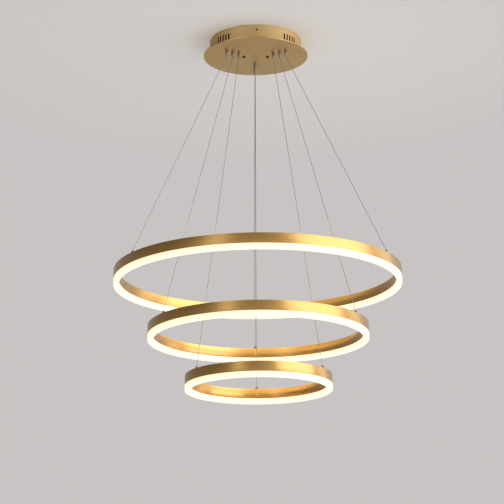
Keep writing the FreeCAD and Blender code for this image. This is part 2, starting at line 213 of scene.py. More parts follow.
# --------------------------------------------------------------------------- the bracket
# Two zinc-plated steel strips, crossed and riveted. The long one is bent down at both ends
# and is screwed to the ceiling through its slots.


def surface_of(material):
    """The material's main shader node."""
    return material.node_tree.nodes["Principled BSDF"]


def new_material(name, colour, metallic, roughness):
    """A material with its even values on the shader's own sockets."""
    material = bpy.data.materials.new(name)
    material.use_nodes = True
    shader = surface_of(material)
    shader.inputs["Base Color"].default_value = (*colour, 1)
    shader.inputs["Metallic"].default_value = metallic
    shader.inputs["Roughness"].default_value = roughness
    return material


def object_place(tree):
    """The place on the piece, in metres."""
    return add_node(tree, "ShaderNodeTexCoord").outputs["Object"]


def stretched(tree, place, factors):
    """The place scaled by a factor along each axis, to draw a pattern out."""
    made = add_node(tree, "ShaderNodeVectorMath", {0: place, 1: factors}, operation="MULTIPLY")
    return made.outputs[0]


def noise(tree, place, scale=1.0, detail=3.0):
    """Noise at the given place, in features per unit of it."""
    made = add_node(tree, "ShaderNodeTexNoise", {
        "Vector": place, "Scale": scale, "Detail": detail, "Roughness": 0.6})
    return made.outputs["Fac"]


def speckle(material, per_metre):
    """Even noise over the piece, in features per metre."""
    tree = material.node_tree
    return noise(tree, object_place(tree), per_metre)


def vary_colour(material, pattern, darkest, lightest):
    """The colour goes between a darker and a lighter form of itself with the pattern."""
    tree = material.node_tree
    shader = surface_of(material)
    colour = shader.inputs["Base Color"].default_value[:3]
    mixed = add_node(tree, "ShaderNodeMix", {
        "Factor": pattern,
        "A": (*[value * darkest for value in colour], 1),
        "B": (*[min(1.0, value * lightest) for value in colour], 1)}, data_type="RGBA")
    tree.links.new(mixed.outputs["Result"], shader.inputs["Base Color"])


def vary_roughness(material, pattern, low, high):
    """The roughness goes between two values with the pattern."""
    tree = material.node_tree
    tree.links.new(spread(tree, pattern, low, high, from_low=0.25, from_high=0.75),
                   surface_of(material).inputs["Roughness"])


def raise_surface(material, pattern, height):
    """The pattern stands up from the surface by the given height."""
    tree = material.node_tree
    bump = add_node(tree, "ShaderNodeBump", {
        "Height": pattern, "Distance": height, "Strength": 1.0})
    tree.links.new(bump.outputs["Normal"], surface_of(material).inputs["Normal"])


zinc_steel = new_material("zinc_steel", colour=(0.60, 0.60, 0.58), metallic=1.0, roughness=0.38)
vary_colour(zinc_steel, speckle(zinc_steel, 90), darkest=0.82, lightest=1.12)
vary_roughness(zinc_steel, speckle(zinc_steel, 220), low=0.28, high=0.50)
raise_surface(zinc_steel, speckle(zinc_steel, 1400), height=0.03 * MM)


def shade(mesh, material, crease=30):
    """One material, and smooth shading but for edges sharper than the crease."""
    mesh.materials.clear()
    mesh.materials.append(material)
    mesh.shade_smooth()
    mesh.set_sharp_from_angle(angle=math.radians(crease))


def finish_mesh(name, work, material, crease=30, large_face=None):
    """An object from the worked mesh, smooth but for edges sharper than the crease and for
    faces over the large size."""
    bmesh.ops.recalc_face_normals(work, faces=work.faces)
    mesh = bpy.data.meshes.new(name)
    work.to_mesh(mesh)
    work.free()
    shade(mesh, material, crease)
    for face in mesh.polygons:
        if large_face and face.area > large_face:
            face.use_smooth = False
    made = bpy.data.objects.new(name, mesh)
    bpy.context.collection.objects.link(made)
    return made


def stands_for(made, body, node):
    """The piece rides on a body and is shown in place of the node."""
    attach(made, body)
    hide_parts(node)


# Corners of a mesh that are closer than this are one corner.
WELD = 0.001 * MM


def eased_piece(name, node, material, edge):
    """A canopy piece copied from its solid, with its flat faces in one piece and its sharp
    edges rounded off."""
    flat_within = math.radians(1)
    sharp_from = math.radians(35)
    large_face = 12 * MM ** 2
    work = bmesh.new()
    work.from_mesh(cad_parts[node].data)
    bmesh.ops.remove_doubles(work, verts=work.verts, dist=WELD)
    bmesh.ops.dissolve_limit(work, angle_limit=flat_within, verts=work.verts, edges=work.edges)
    sharp = [line for line in work.edges
             if len(line.link_faces) == 2 and line.calc_face_angle() > sharp_from]
    bmesh.ops.bevel(work, geom=sharp, offset=edge, segments=2, profile=0.5,
                    affect="EDGES", clamp_overlap=True)
    made = finish_mesh(name, work, material, large_face=large_face)
    stands_for(made, "canopy", node)


for strip in ("long", "cross"):
    eased_piece(f"bracket_{strip}_strip", f"bracket_{strip}_bar", zinc_steel,
                edge=0.25 * MM)


def turned(work, rows, place=(0.0, 0.0), segments=32, axis=None, closed=False):
    """Adds a turned form: rows of (radius, height) round the Z axis at a place, or round the
    given matrix. A radius may be a function of the angle. A closed form has a hole."""
    placed = axis or Matrix.Translation((place[0], place[1], 0))
    loops = []
    for radius, height in rows:
        loop = []
        for step in range(segments):
            turn = step * math.tau / segments
            reach = radius(turn) if callable(radius) else radius
            point = Vector((reach * math.cos(turn), reach * math.sin(turn), height))
            loop.append(work.verts.new(placed @ point))
        loops.append(loop)
    pairs = list(zip(loops, loops[1:]))
    if closed:
        pairs.append((loops[-1], loops[0]))
    for one, other in pairs:
        for step in range(segments):
            after = (step + 1) % segments
            work.faces.new((one[step], one[after], other[after], other[step]))
    if not closed:
        work.faces.new(loops[0])
        work.faces.new(loops[-1])


# A turned form that ends in a point ends in this radius.
POINT = 0.05 * MM

rivet_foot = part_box("bracket_rivet")[0].z
rivet_head_radius = -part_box("bracket_rivet")[0].x
rivet_shank_radius = 2.5 * MM
rivet_shank_ease = 0.2 * MM
bar_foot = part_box("bracket_cross_bar")[0].z
work = bmesh.new()
turned(work, [
    (POINT, 0.0), (rivet_shank_radius - rivet_shank_ease, 0.0),
    (rivet_shank_radius, -rivet_shank_ease), (rivet_shank_radius, bar_foot),
    (rivet_head_radius, bar_foot), (rivet_head_radius, bar_foot - 0.4 * MM),
    (rivet_head_radius * 0.86, bar_foot - 1.1 * MM),
    (rivet_head_radius * 0.55, bar_foot - 1.6 * MM), (POINT, rivet_foot)], segments=36)
rivet = finish_mesh("bracket_dome_rivet", work, zinc_steel)
stands_for(rivet, "canopy", "bracket_rivet")

# ------------------------------------------------------------------------- the canopy drum
# A drum spun from steel sheet, plated satin gold. Its foot is turned in as a flange, and
# four groups of five vents are punched in its wall.


def satin_gold(name, colour, roughness, grain_place):
    """Gold-plated steel with a fine grain. The grain's place is made by the given function."""
    material = new_material(name, colour, 1.0, roughness)
    tree = material.node_tree
    grain = noise(tree, grain_place(tree), detail=4.0)
    vary_colour(material, speckle(material, 14), darkest=0.93, lightest=1.06)
    vary_roughness(material, grain, low=roughness - 0.07, high=roughness + 0.10)
    raise_surface(material, grain, height=0.01 * MM)
    return material


def round_grain(tree, along=9.0, across=1500.0):
    """A place drawn out round the Z axis, so that a pattern on it runs round the piece."""
    place = add_node(tree, "ShaderNodeSeparateXYZ", {0: object_place(tree)})
    flat = add_node(tree, "ShaderNodeCombineXYZ", {0: place.outputs["X"], 1: place.outputs["Y"]})
    radius = add_node(tree, "ShaderNodeVectorMath", {0: flat.outputs[0]}, operation="LENGTH")
    depth = add_node(tree, "ShaderNodeMath", {0: place.outputs["Z"],
                                              1: radius.outputs["Value"]}, operation="ADD")
    joined = add_node(tree, "ShaderNodeCombineXYZ", {
        0: place.outputs["X"], 1: place.outputs["Y"], 2: depth.outputs[0]})
    return stretched(tree, joined.outputs[0], (along, along, across))


drum_gold = satin_gold("drum_gold", colour=(0.62, 0.43, 0.19), roughness=0.62,
                       grain_place=round_grain)
surface_of(drum_gold).inputs["Metallic"].default_value = 0.75
# Near-black primer: the drum's own inside finish, made this dark as painted shade for the inside
# of the canopy.
drum_primer_and_painted_shade = new_material("drum_primer_and_painted_shade", colour=(0.025, 0.020, 0.016), metallic=0.0,
                           roughness=0.6)

drum_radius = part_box("canopy_drum")[1].x
drum_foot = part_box("canopy_drum")[0].z
sheet_thickness = 1.2 * MM
rim_height = 1.0 * MM
flange_width = 8 * MM
foot_rounding = 2 * MM
foot_steps = 4
vent_top = -16 * MM
vent_foot = -35 * MM
vent_width = 4.5 * MM
vent_pitch = 10.5 * MM
vent_half_angle = vent_width / 2 / drum_radius
vent_pitch_angle = vent_pitch / drum_radius
vent_groups = [math.radians(angle) for angle in (44, 136, 224, 316)]
longest_facet = math.radians(2)

vent_middles = sorted(group + number * vent_pitch_angle
                      for group in vent_groups for number in range(-2, 3))
columns = []
open_columns = set()
for index, middle in enumerate(vent_middles):
    open_columns.add(len(columns))
    columns += [middle - vent_half_angle, middle + vent_half_angle]
    following = vent_middles[(index + 1) % len(vent_middles)]
    gap_end = following - vent_half_angle + (math.tau if index + 1 == len(vent_middles) else 0)
    gap = gap_end - columns[-1]
    parts = max(2, round(gap / longest_facet))
    columns += [columns[-1] + gap * part / parts for part in range(1, parts)]
rows = [(drum_radius, 0.0), (drum_radius, -rim_height), (drum_radius, vent_top),
        (drum_radius, vent_foot)]
vent_row = 2
for step in range(foot_steps + 1):
    turn = math.radians(90) * step / foot_steps
    rows.append((drum_radius - foot_rounding * (1 - math.cos(turn)),
                 drum_foot + foot_rounding * (1 - math.sin(turn))))
rows.append((drum_radius - flange_width, drum_foot))

work = bmesh.new()
grid = []
for turn in columns:
    grid.append([work.verts.new((radius * math.cos(turn), radius * math.sin(turn), height))
                 for radius, height in rows])
for index, column in enumerate(grid):
    following = grid[(index + 1) % len(grid)]
    for row in range(len(rows) - 1):
        if index in open_columns and row == vent_row:
            continue
        work.faces.new((column[row], column[row + 1], following[row + 1], following[row]))
drum = finish_mesh("canopy_spun_drum", work, drum_gold)


def work_in_modifiers(made):
    """Works the modifiers into the mesh and shades it as every other piece."""
    material = made.data.materials[0]
    worked = bpy.data.meshes.new_from_object(
        made.evaluated_get(bpy.context.evaluated_depsgraph_get()))
    made.modifiers.clear()
    made.data = worked
    shade(worked, material)


thicken = drum.modifiers.new("thicken", "SOLIDIFY")
thicken.thickness = sheet_thickness
thicken.offset = -1
ease = drum.modifiers.new("ease", "BEVEL")
ease.width = 0.3 * MM
ease.segments = 2
ease.limit_method = "ANGLE"
ease.angle_limit = math.radians(40)
work_in_modifiers(drum)

# The inside is in primer darkened to near black, partly as painted shade, and the cut edges of
# the vents are painted shade, so that the vents read dark.
drum.data.materials.append(drum_primer_and_painted_shade)
vent_edge_room = 0.1 * MM
for face in drum.data.polygons:
    outward = face.normal.dot(Vector((face.center.x, face.center.y, 0)).normalized())
    beside_vent = vent_foot - vent_edge_room < face.center.z < vent_top + vent_edge_room
    faces_in = outward < -0.5
    painted_shade_vent_edge = beside_vent and outward < 0.6
    if faces_in or painted_shade_vent_edge:
        face.material_index = 1
stands_for(drum, "canopy", "canopy_drum")

# --------------------------------------------------------------------------- the face plate
# A round plate cut from 3 mm steel sheet with eased edges, plated satin gold. Nine holes
# take the wire grippers and two take the long screws.


def straight_grain(tree, along=14.0, across=1300.0):
    """A place drawn out along X, for a grain that runs straight over a plate."""
    return stretched(tree, object_place(tree), (along, across, across))


plate_gold = satin_gold("plate_gold", colour=(0.62, 0.42, 0.175), roughness=0.42,
                        grain_place=straight_grain)

plate_low, plate_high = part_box("canopy_face_plate")
plate_edge_rounding = 0.7 * MM
gripper_hole_radius = 3.1 * MM
screw_hole_radius = 2.2 * MM
plate_screw_head_radius = 4.5 * MM
screw_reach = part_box("face_plate_screws")[1].x - plate_screw_head_radius
RINGS = ("large", "medium", "small")
SPOKES = {"rear": math.radians(90), "left": math.radians(210), "right": math.radians(330)}


def middle_of(node):
    """The middle of a solid's box."""
    low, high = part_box(node)
    return (low + high) / 2


gripper_middles = {}
for ring in RINGS:
    for spoke in SPOKES:
        gripper_middles[ring, spoke] = middle_of(f"{ring}_{spoke}_plunger")


def add_circle(curve, radius, place, points):
    """A closed round line in a flat curve."""
    line = curve.splines.new("POLY")
    line.points.add(points - 1)
    for step, point in enumerate(line.points):
        turn = step * math.tau / points
        point.co = (place[0] + radius * math.cos(turn), place[1] + radius * math.sin(turn), 0, 1)
    line.use_cyclic_u = True


outline = bpy.data.curves.new("plate_outline", "CURVE")
outline.dimensions = "2D"
outline.fill_mode = "BOTH"
add_circle(outline, plate_high.x - plate_edge_rounding, (0, 0), points=256)
for middle in gripper_middles.values():
    add_circle(outline, gripper_hole_radius + plate_edge_rounding, middle, points=32)
for side in (-1, 1):
    add_circle(outline, screw_hole_radius + plate_edge_rounding, (side * screw_reach, 0),
               points=32)
outline.extrude = (plate_high.z - plate_low.z) / 2 - plate_edge_rounding
outline.bevel_depth = plate_edge_rounding
outline.bevel_resolution = 3
holder = bpy.data.objects.new("plate_outline", outline)
bpy.context.collection.objects.link(holder)
plate_mesh = bpy.data.meshes.new_from_object(
    holder.evaluated_get(bpy.context.evaluated_depsgraph_get()))
bpy.data.objects.remove(holder)
work = bmesh.new()
work.from_mesh(plate_mesh)
bmesh.ops.remove_doubles(work, verts=work.verts, dist=WELD)
bmesh.ops.translate(work, verts=work.verts, vec=(0, 0, (plate_low.z + plate_high.z) / 2))
plate = finish_mesh("canopy_round_plate", work, plate_gold)
stands_for(plate, "canopy", "canopy_face_plate")

# ------------------------------------------------------------------- screws of the canopy
# Black-oxide steel pan heads with a cross recess. Two long ones pull the face plate up to
# the bracket, and two short ones hold the drum to the bracket's ears.

black_steel = new_material("black_steel", colour=(0.045, 0.040, 0.034), metallic=0.9,
                           roughness=0.42)
vary_colour(black_steel, speckle(black_steel, 500), darkest=0.6, lightest=1.6)
vary_roughness(black_steel, speckle(black_steel, 900), low=0.32, high=0.55)
raise_surface(black_steel, speckle(black_steel, 2500), height=0.01 * MM)


def cross_recess(arm, width):
    """The radius of a plus-shaped outline at each angle."""
    def reach(turn):
        side = abs((turn + math.radians(45)) % math.radians(90) - math.radians(45))
        return min(arm / math.cos(side), width / 2 / max(math.sin(side), 0.01))
    return reach


THREAD_PITCH = 0.7 * MM


def thread_rows(radius, low, count, depth, lead):
    """Rows up a fine thread: so many ridges, the first one a part of the pitch above low."""
    rows = []
    for step in range(count):
        ridge = low + (step + lead) * THREAD_PITCH
        rows += [(radius, ridge), (radius - depth, ridge + THREAD_PITCH / 2)]
    return rows


def pan_head(radius, height, shank_radius, shank_length):
    """The rows of a pan-head screw, from the bottom of its recess to its tip, head down."""
    arm = radius * 0.5
    width = radius * 0.22
    head = [
        (cross_recess(arm * 0.35, width * 0.6), height * 0.45),
        (cross_recess(arm, width), height * 0.06), (radius * 0.62, 0.0),
        (radius * 0.80, height * 0.07), (radius * 0.93, height * 0.25),
        (radius, height * 0.55), (radius, height), (shank_radius, height)]
    ridges = int((shank_length - shank_radius) / THREAD_PITCH)
    tip = [(shank_radius, height + shank_length - shank_radius * 0.3),
           (shank_radius * 0.7, height + shank_length)]
    return head + thread_rows(shank_radius, height, ridges, depth=0.3 * MM, lead=0.5) + tip


def screws(name, node, places, rows, body):
    """Black screws of one kind in one piece, each turned round its own matrix."""
    work = bmesh.new()
    for place in places:
        turned(work, rows, axis=place, segments=48)
    stands_for(finish_mesh(name, work, black_steel), body, node)


screw_low, screw_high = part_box("face_plate_screws")
plate_screw_places = [Matrix.Translation((side * screw_reach, 0, screw_low.z))
                      for side in (-1, 1)]
screws("plate_screws", "face_plate_screws", plate_screw_places,
       pan_head(plate_screw_head_radius, plate_low.z - screw_low.z, shank_radius=2 * MM,
                shank_length=screw_high.z - plate_low.z), "canopy")

side_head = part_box("drum_side_screws")[1].y
side_screw_height = middle_of("drum_side_screws").z
side_screw_places = [Matrix.Translation((0, side * side_head, side_screw_height))
                     @ Matrix.Rotation(side * math.radians(90), 4, "X") for side in (-1, 1)]
screws("drum_side_pan_screws", "drum_side_screws", side_screw_places,
       pan_head(2.75 * MM, side_head - drum_radius, shank_radius=1.5 * MM,
                shank_length=8 * MM), "canopy")

# --------------------------------------------------------------- driver and terminal block
# The LED driver is a moulded plastic box with a snap-on cover at each end, stuck to the
# plate with foam tape. The mains block is moulded too, with zinc-plated screws in its wells.

driver_plastic = new_material("driver_plastic", colour=(0.10, 0.10, 0.105), metallic=0.0,
                              roughness=0.45)
vary_colour(driver_plastic, speckle(driver_plastic, 25), darkest=0.94, lightest=1.05)
vary_roughness(driver_plastic, speckle(driver_plastic, 400), low=0.38, high=0.55)
raise_surface(driver_plastic, speckle(driver_plastic, 1800), height=0.05 * MM)
eased_piece("driver_case", "led_driver_case", driver_plastic, edge=0.5 * MM)
eased_piece("driver_covers", "led_driver_end_covers", driver_plastic,
            edge=0.8 * MM)

foam_tape = new_material("foam_tape", colour=(0.05, 0.05, 0.05), metallic=0.0, roughness=0.9)
vary_colour(foam_tape, speckle(foam_tape, 900), darkest=0.5, lightest=1.6)
raise_surface(foam_tape, speckle(foam_tape, 1500), height=0.3 * MM)
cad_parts["driver_tape_pad"].material_slots[0].material = foam_tape

block_plastic = new_material("block_plastic", colour=(0.86, 0.84, 0.76), metallic=0.0,
                             roughness=0.38)
vary_colour(block_plastic, speckle(block_plastic, 40), darkest=0.95, lightest=1.04)
raise_surface(block_plastic, speckle(block_plastic, 1500), height=0.03 * MM)
eased_piece("mains_block", "mains_terminal_block", block_plastic,
            edge=0.35 * MM)

block_low, block_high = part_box("mains_terminal_block")
poles = 3
well_foot = block_high.z - 3.0 * MM
well_screw_top = block_high.z - 0.9 * MM
well_screw_radius = 1.9 * MM
well_screw_ease = 0.25 * MM
well_recess = cross_recess(arm=1.3 * MM, width=0.55 * MM)
well_recess_depth = 0.7 * MM
work = bmesh.new()
for pole in range(poles):
    across = block_low.x + (block_high.x - block_low.x) * (pole + 0.5) / poles
    turned(work, [
        (well_recess, well_screw_top - well_recess_depth), (well_recess, well_screw_top),
        (well_screw_radius - well_screw_ease, well_screw_top),
        (well_screw_radius, well_screw_top - well_screw_ease), (well_screw_radius, well_foot)],
        place=(across, middle_of("mains_terminal_block").y), segments=48)
block_screws = finish_mesh("mains_block_screws", work, zinc_steel)
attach(block_screws, "canopy")

# --------------------------------------------------------------------------- the grippers
# Turned steel, nickel plated. Each barrel has a threaded neck through the plate, a hexagon
# nut inside the canopy, and a sliding plunger at its tip that lets go of the wire.


def turning_marks(material, around, along):
    """Fine rings round the Z axis, as the lathe leaves them, in features per metre."""
    tree = material.node_tree
    return noise(tree, stretched(tree, object_place(tree), (around, around, along)))


nickel_steel = new_material("nickel_steel", colour=(0.40, 0.38, 0.35), metallic=1.0,
                            roughness=0.24)
turning = turning_marks(nickel_steel, around=60.0, along=4000.0)
vary_colour(nickel_steel, speckle(nickel_steel, 300), darkest=0.85, lightest=1.08)
vary_roughness(nickel_steel, turning, low=0.16, high=0.34)
raise_surface(nickel_steel, turning, height=0.01 * MM)

barrel_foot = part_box("gripper_barrels")[0].z
barrel_top = plate_low.z
barrel_radius = 4 * MM
barrel_ease = 0.3 * MM
knurl_top = barrel_top - 1.8 * MM
knurl_foot = barrel_top - 6.2 * MM
knurl_depth = 0.18 * MM
knurl_ridges = 24
nose_height = 1.6 * MM
nose_taper = 1.0 * MM
neck_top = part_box("gripper_barrels")[1].z
neck_radius = 3 * MM
neck_taper = 0.5 * MM
neck_thread_top = neck_top - 0.3 * MM
neck_thread_foot = plate_high.z
neck_ridges = round((neck_thread_top - neck_thread_foot) / THREAD_PITCH)
wire_bore_radius = 1.3 * MM
plunger_bore_radius = 2.5 * MM
plunger_bore_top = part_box("large_rear_plunger")[1].z + 2.3 * MM


def knurled(turn):
    """The radius of the barrel's finely ridged grip at each angle."""
    return barrel_radius - knurl_depth * (0.5 + 0.5 * math.cos(turn * knurl_ridges))


neck_thread = thread_rows(neck_radius, neck_thread_foot, neck_ridges, depth=0.25 * MM,
                          lead=0.25)
barrel_rows = [
    (wire_bore_radius, neck_top), (neck_radius - neck_taper, neck_top), *reversed(neck_thread),
    (neck_radius, neck_thread_foot - 0.2 * MM), (neck_radius, barrel_top),
    (barrel_radius - barrel_ease, barrel_top), (barrel_radius, barrel_top - barrel_ease),
    (barrel_radius, knurl_top + 2 * barrel_ease),
    (barrel_radius - barrel_ease, knurl_top + barrel_ease),
    (knurled, knurl_top), (knurled, knurl_foot),
    (barrel_radius - barrel_ease, knurl_foot - barrel_ease),
    (barrel_radius, knurl_foot - 2 * barrel_ease), (barrel_radius, barrel_foot + nose_height),
    (barrel_radius - nose_taper / 2, barrel_foot + nose_height / 4),
    (barrel_radius - nose_taper, barrel_foot), (plunger_bore_radius, barrel_foot),
    (plunger_bore_radius, plunger_bore_top), (wire_bore_radius, plunger_bore_top)]
work = bmesh.new()
for middle in gripper_middles.values():
    turned(work, barrel_rows, place=middle, segments=72, closed=True)
barrels = finish_mesh("gripper_knurled_barrels", work, nickel_steel)
stands_for(barrels, "canopy", "gripper_barrels")


def hexagon(across_flats, angle):
    """The radius of a six-sided outline at each angle, with a flat facing the given one."""
    def reach(turn):
        side = (turn - angle + math.radians(30)) % math.radians(60) - math.radians(30)
        return across_flats / 2 / math.cos(side)
    return reach


def hexagon_nut(work, across_flats, low, high, place, angle, bore_radius):
    """Adds a nut with turned corners on both faces."""
    whole = hexagon(across_flats, angle)
    flat = across_flats / 2
    corner = flat / math.cos(math.radians(30))
    ease_height = 0.12 * across_flats

    def round_middle(turn):
        return min(whole(turn), (flat + corner) / 2)

    turned(work, [
        (bore_radius, low), (flat, low), (round_middle, low + 0.4 * ease_height),
        (whole, low + ease_height), (whole, high - ease_height),
        (round_middle, high - 0.4 * ease_height), (flat, high), (bore_radius, high)],
        place=place, segments=72, closed=True)


nut_low, nut_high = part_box("gripper_nuts")
gripper_nut_width = 10 * MM
thread_room = 0.1 * MM
work = bmesh.new()
for middle in gripper_middles.values():
    outward = math.atan2(middle.y, middle.x)
    hexagon_nut(work, gripper_nut_width, nut_low.z, nut_high.z, middle,
                outward + math.radians(30), neck_radius + thread_room)
nuts = finish_mesh("gripper_hexagon_nuts", work, zinc_steel)
stands_for(nuts, "canopy", "gripper_nuts")

plunger_radius = 2.2 * MM
plunger_mouth_ease = 0.3 * MM
# How many millimetres in from the plunger's radius and up from its tip each corner lies: a
# rounded tip, and a groove for the fingernail above it.
plunger_corners = [(0.5, 0.0), (0.15, 0.15), (0.0, 0.5), (0.0, 1.4), (0.25, 1.6), (0.25, 1.9),
                   (0.0, 2.1)]
for (ring, spoke), middle in gripper_middles.items():
    node = f"{ring}_{spoke}_plunger"
    low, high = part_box(node)
    work = bmesh.new()
    turned(work, [
        (wire_bore_radius, low.z + plunger_mouth_ease),
        (wire_bore_radius + plunger_mouth_ease, low.z),
        *[(plunger_radius - inward * MM, low.z + up * MM) for inward, up in plunger_corners],
        (plunger_radius, high.z), (wire_bore_radius, high.z)],
        place=middle, segments=48, closed=True)
    plunger = finish_mesh(f"{ring}_{spoke}_release_tip", work, nickel_steel)
    stands_for(plunger, node, node)

# ---------------------------------------------------------------------- the ring channels
# Each ring is an aluminium channel, open downward, rolled round and welded. It is brushed
# along its length and anodised gold.

ring_gold = new_material("ring_gold", colour=(0.66, 0.375, 0.105), metallic=1.0,
                         roughness=0.27)
tree = ring_gold.node_tree
brushing = noise(tree, round_grain(tree, along=7.0, across=900.0), detail=5.0)
fine_brushing = noise(tree, round_grain(tree, along=12.0, across=3000.0), detail=2.0)
vary_colour(ring_gold, brushing, darkest=0.84, lightest=1.10)
vary_roughness(ring_gold, brushing, low=0.19, high=0.35)
raise_surface(ring_gold, fine_brushing, height=0.01 * MM)
shader = surface_of(ring_gold)
shader.inputs["Anisotropic"].default_value = 0.55
shader.inputs["Coat Weight"].default_value = 0.85
shader.inputs["Coat Roughness"].default_value = 0.20
shader.inputs["Coat IOR"].default_value = 1.45
round_tangent = add_node(tree, "ShaderNodeTangent", direction_type="RADIAL", axis="Z")
tree.links.new(round_tangent.outputs[0], shader.inputs["Tangent"])

ring_width = 15 * MM
channel_wall = 1.3 * MM
channel_web = 1.5 * MM
channel_top_rounding = 0.5 * MM
channel_lip_rounding = 0.25 * MM
channel_inner_rounding = 0.2 * MM
grub_hole_radius = 1.6 * MM
drill_back = 1 * MM
drill_depth = channel_wall + 1.5 * MM
ring_segments = 288


def rounded(corners, steps=3):
    """A (radius, height) outline from corners of (radius, height, rounding)."""
    points = []
    for index, (radius, height, rounding) in enumerate(corners):
        here = Vector((radius, height))
        if not rounding:
            points.append(tuple(here))
            continue
        back = (Vector(corners[index - 1][:2]) - here).normalized()
        ahead = (Vector(corners[(index + 1) % len(corners)][:2]) - here).normalized()
        half = back.angle(ahead) / 2
        middle = here + (back + ahead).normalized() * rounding / math.sin(half)
        start = here + back * rounding / math.tan(half) - middle
        end = here + ahead * rounding / math.tan(half) - middle
        for step in range(steps + 1):
            spoke = start.lerp(end, step / steps).normalized() * rounding
            points.append(tuple(middle + spoke))
    return points


def polar(radius, turn, height):
    """The point at a radius, an angle and a height."""
    return Vector((radius * math.cos(turn), radius * math.sin(turn), height))


def outward_axis(radius, turn, height):
    """The matrix at a point of a ring that turns the Z axis outward."""
    return (Matrix.Translation(polar(radius, turn, height)) @ Matrix.Rotation(turn, 4, "Z")
            @ Matrix.Rotation(math.radians(90), 4, "Y"))


def drill(made, cutters):
    """Cuts the cutters' mesh out of the piece."""
    tool = bpy.data.objects.new("drill", cutters)
    bpy.context.collection.objects.link(tool)
    cut = made.modifiers.new("drill", "BOOLEAN")
    cut.operation = "DIFFERENCE"
    cut.solver = "EXACT"
    cut.object = tool
    work_in_modifiers(made)
    bpy.data.objects.remove(tool)


for ring in RINGS:
    low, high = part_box(f"{ring}_ring_housing")
    outer = high.x
    inner = outer - ring_width
    web_foot = high.z - channel_web
    grub_height = middle_of(f"{ring}_ring_grub_screws").z
    work = bmesh.new()
    turned(work, rounded([
        (inner, high.z, channel_top_rounding), (outer, high.z, channel_top_rounding),
        (outer, low.z, channel_lip_rounding),
        (outer - channel_wall, low.z, channel_inner_rounding),
        (outer - channel_wall, web_foot, 0), (inner + channel_wall, web_foot, 0),
        (inner + channel_wall, low.z, channel_inner_rounding),
        (inner, low.z, channel_lip_rounding)]), segments=ring_segments, closed=True)
    channel = finish_mesh(f"{ring}_ring_channel", work, ring_gold)
    work = bmesh.new()
    for turn in SPOKES.values():
        turned(work, [(grub_hole_radius, 0), (grub_hole_radius, drill_depth)],
               axis=outward_axis(inner - drill_back, turn, grub_height), segments=24)
    bmesh.ops.recalc_face_normals(work, faces=work.faces)
    cutters = bpy.data.meshes.new("grub_holes")
    work.to_mesh(cutters)
    work.free()
    drill(channel, cutters)
    stands_for(channel, f"{ring}_ring", f"{ring}_ring_housing")

# -------------------------------------------------------------------------- the LED strips
# A flexible tape with yellow phosphor-coated LEDs, stuck to the channel's inner wall. It is
# shut in by the channel and the milky ring.

led_tape = new_material("led_tape", colour=(0.93, 0.84, 0.50), metallic=0.0, roughness=0.5)
vary_colour(led_tape, speckle(led_tape, 350), darkest=0.8, lightest=1.1)
raise_surface(led_tape, speckle(led_tape, 900), height=0.1 * MM)
surface_of(led_tape).inputs["Emission Color"].default_value = (1.0, 0.90, 0.70, 1)
surface_of(led_tape).inputs["Emission Strength"].default_value = 1.0
for ring in RINGS:
    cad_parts[f"{ring}_ring_led_strip"].material_slots[0].material = led_tape

# ------------------------------------------------------------------------- the milky rings
# Solid milky acrylic, lit from inside by the strip. A narrower tongue plugs up into the
# channel, and the lit part below is as wide as the channel.

milky_acrylic = new_material("milky_acrylic", colour=(0.46, 0.45, 0.43), metallic=0.0,
                             roughness=0.35)
foot_glow = (0.95, 0.80, 0.58)
strip_glow = (1.0, 0.73, 0.43)
tree = milky_acrylic.node_tree
height_in_ring = add_node(tree, "ShaderNodeSeparateXYZ", {
    0: add_node(tree, "ShaderNodeTexCoord").outputs["Generated"]}).outputs["Z"]
cloud = spread(tree, speckle(milky_acrylic, 30), low=-0.12, high=0.12)
near_strip = add_node(tree, "ShaderNodeMath", {
    0: spread(tree, height_in_ring, low=0.0, high=1.0, from_high=0.65), 1: cloud},
    operation="ADD")
glow = add_node(tree, "ShaderNodeMix", {
    "Factor": near_strip.outputs[0], "A": (*foot_glow, 1), "B": (*strip_glow, 1)},
    data_type="RGBA")
tree.links.new(glow.outputs["Result"], surface_of(milky_acrylic).inputs["Emission Color"])
surface_of(milky_acrylic).inputs["Emission Strength"].default_value = 1.08
raise_surface(milky_acrylic, speckle(milky_acrylic, 700), height=0.02 * MM)

tongue_gap = 0.15 * MM
tongue_height = 6.5 * MM
lit_edge_rounding = 1.2 * MM
shoulder_rounding = 0.3 * MM
for ring in RINGS:
    low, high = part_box(f"{ring}_ring_diffuser")
    outer = high.x
    inner = outer - ring_width
    shoulder = high.z - tongue_height
    tongue_outer = outer - channel_wall - tongue_gap
    tongue_inner = inner + channel_wall + tongue_gap
    work = bmesh.new()
    turned(work, rounded([
        (inner, low.z, lit_edge_rounding), (outer, low.z, lit_edge_rounding),
        (outer, shoulder, shoulder_rounding), (tongue_outer, shoulder, 0),
        (tongue_outer, high.z, shoulder_rounding), (tongue_inner, high.z, shoulder_rounding),
        (tongue_inner, shoulder, 0), (inner, shoulder, shoulder_rounding)], steps=4),
        segments=ring_segments, closed=True)
    milky_ring = finish_mesh(f"{ring}_milky_ring", work, milky_acrylic)
    stands_for(milky_ring, f"{ring}_ring", f"{ring}_ring_diffuser")

